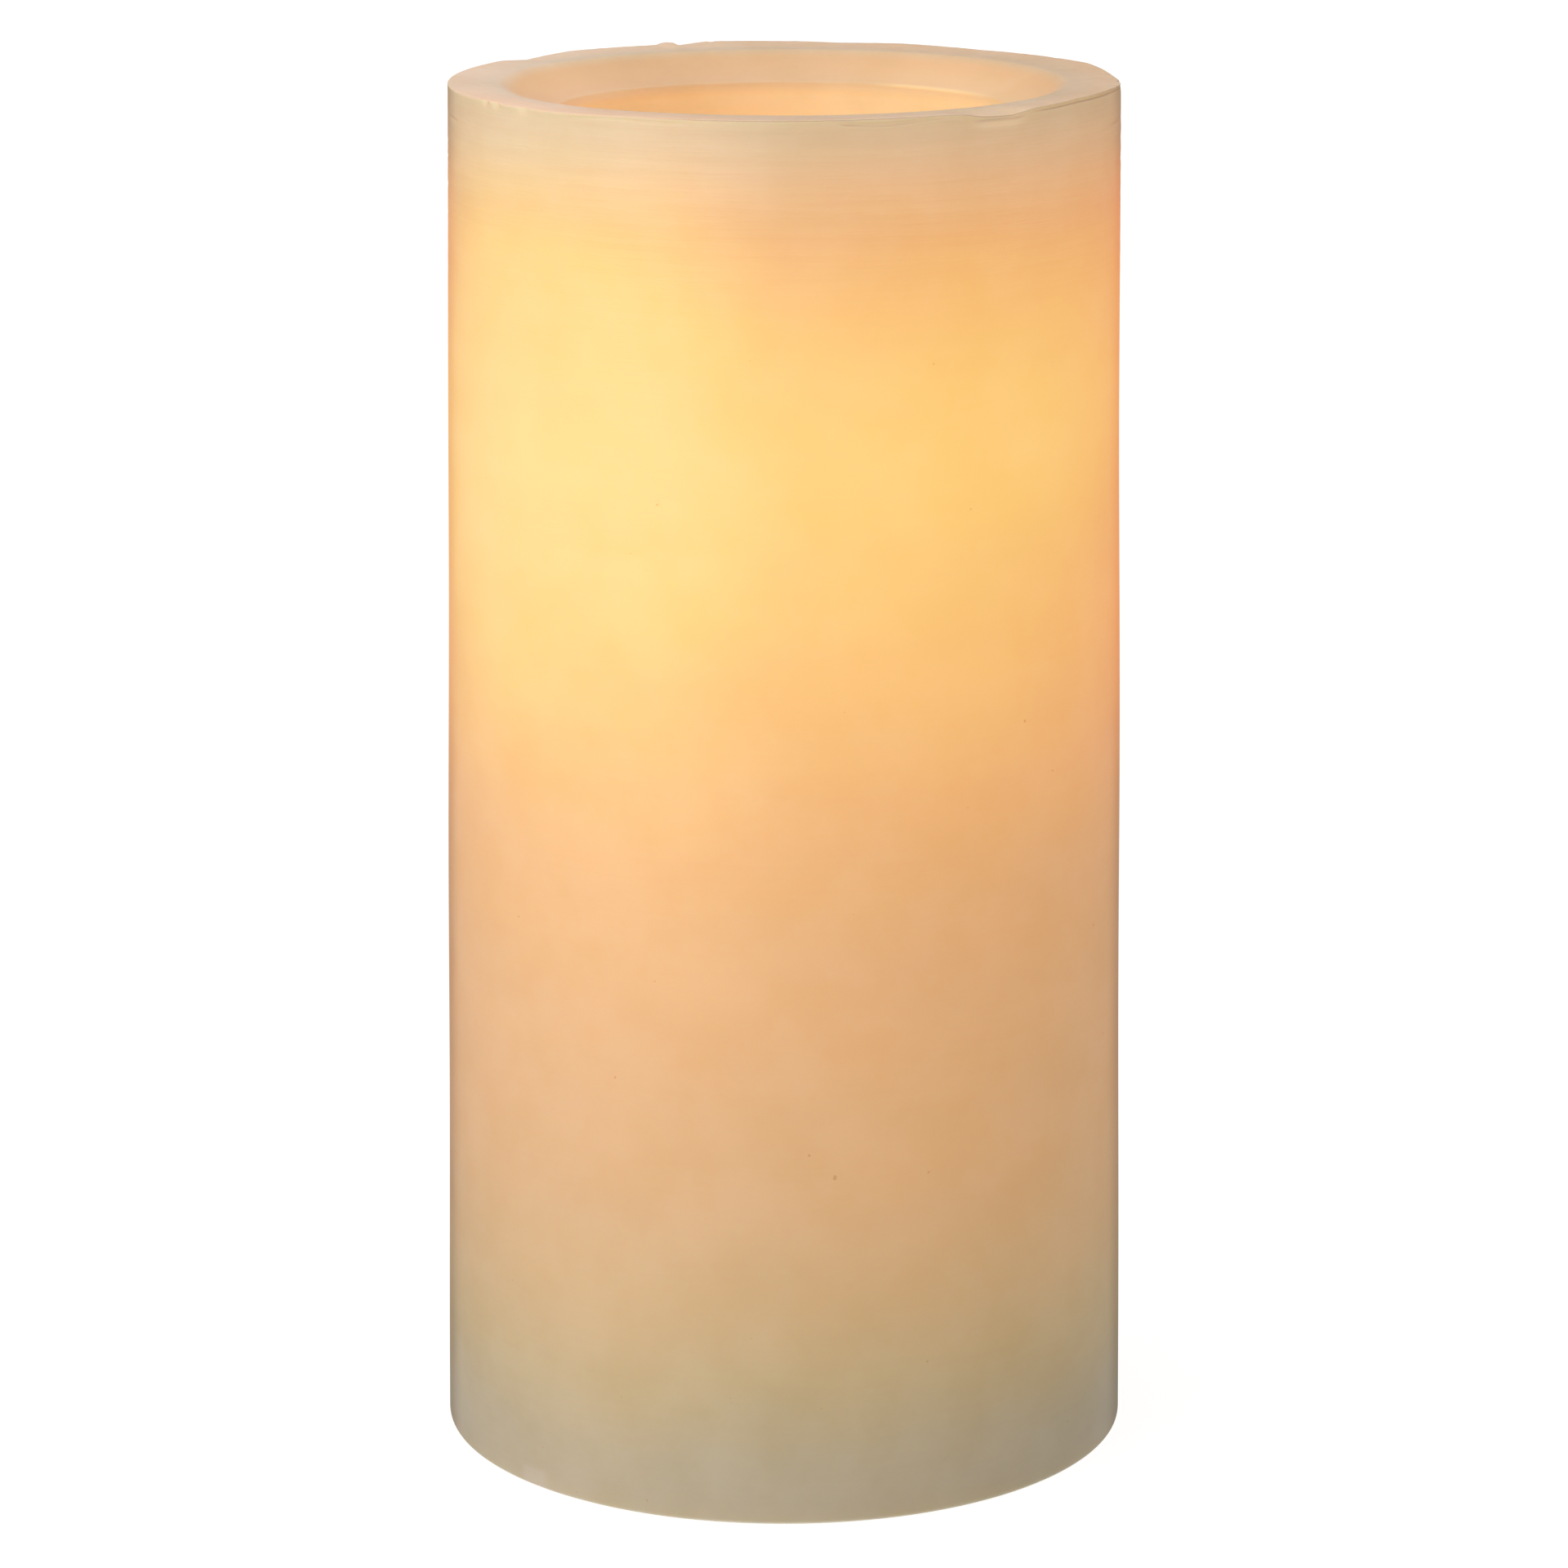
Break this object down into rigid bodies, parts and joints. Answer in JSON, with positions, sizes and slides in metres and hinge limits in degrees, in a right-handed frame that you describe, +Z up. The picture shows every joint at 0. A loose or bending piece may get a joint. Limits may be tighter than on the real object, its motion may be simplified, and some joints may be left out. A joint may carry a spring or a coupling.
{
  "type": "flameless led candle",
  "caption": "Real-wax LED pillar candle with a deep open recess, glowing warm amber, on a hidden battery base with a hinged door and a slide switch.",
  "frame": {"origin": "centre of the plane that the candle stands on", "axes": "+Z up along the axis of the pillar; +X towards the latch of the battery door; -Y is the side seen from the front, and the slide switch is on the +Y side of the underside"},
  "size_m": [0.0764, 0.0764, 0.15],
  "materials": {
    "wax": "satin",
    "ivory_plastic": "satin",
    "black_plastic": "satin",
    "nickel_steel": "satin",
    "tinned_copper": "satin",
    "circuit_board": "satin",
    "black_epoxy": "gloss",
    "aluminium_can": "satin",
    "resistor_body": "satin",
    "cell_sleeve": "satin",
    "red_vinyl": "satin",
    "black_vinyl": "satin",
    "hot_melt": "satin",
    "led_epoxy": "gloss",
    "frosted_plastic": "satin"
  },
  "bodies": {
    "candle": {"wax_shell": "wax", "base_housing": "ivory_plastic", "base_cover": "ivory_plastic", "led_post": "ivory_plastic", "driver_transistor": "black_plastic", "cover_screw_1": "nickel_steel", "cover_screw_2": "nickel_steel", "cover_screw_3": "nickel_steel", "post_screw_1": "nickel_steel", "post_screw_2": "nickel_steel", "board_screw_1": "nickel_steel", "board_screw_2": "nickel_steel", "contact_spring_1": "nickel_steel", "contact_spring_2": "nickel_steel", "negative_contact": "nickel_steel", "positive_contact": "nickel_steel", "bridge_contact": "nickel_steel", "switch_body": "nickel_steel", "timer_crystal": "nickel_steel", "led_lead_plus": "tinned_copper", "led_lead_minus": "tinned_copper", "circuit_board": "circuit_board", "timer_chip": "black_epoxy", "smoothing_capacitor": "aluminium_can", "led_resistor": "resistor_body", "led_wire_red": "red_vinyl", "battery_wire_red": "red_vinyl", "led_wire_black": "black_vinyl", "battery_wire_black": "black_vinyl", "glue_bead_1": "hot_melt", "glue_bead_2": "hot_melt", "glue_bead_3": "hot_melt", "led_bulb": "led_epoxy", "diffuser_dome": "frosted_plastic"},
    "battery_door": {"battery_door": "ivory_plastic"},
    "switch_knob": {"switch_knob": "black_plastic"},
    "battery_1": {"battery_1": "cell_sleeve"},
    "battery_2": {"battery_2": "cell_sleeve"}
  },
  "joints": [
    {"name": "door_hinge", "type": "hinge", "parent": "candle", "child": "battery_door", "pos_m": [-0.0264, 0, 0.0024], "axis": [0, 1, 0], "range_deg": [0, 100]},
    {"name": "switch_slide", "type": "slide", "parent": "candle", "child": "switch_knob", "axis": [1, 0, 0], "range_m": [-0.002, 0.002]},
    {"name": "battery_1_play", "type": "slide", "parent": "candle", "child": "battery_1", "axis": [-1, 0, 0], "range_m": [0, 0.0012], "stiffness_N_per_m": 400, "springref_m": -0.0015, "deforming": ["contact_spring_1"]},
    {"name": "battery_2_play", "type": "slide", "parent": "candle", "child": "battery_2", "axis": [1, 0, 0], "range_m": [0, 0.0012], "stiffness_N_per_m": 400, "springref_m": -0.0015, "deforming": ["contact_spring_2"]}
  ]
}
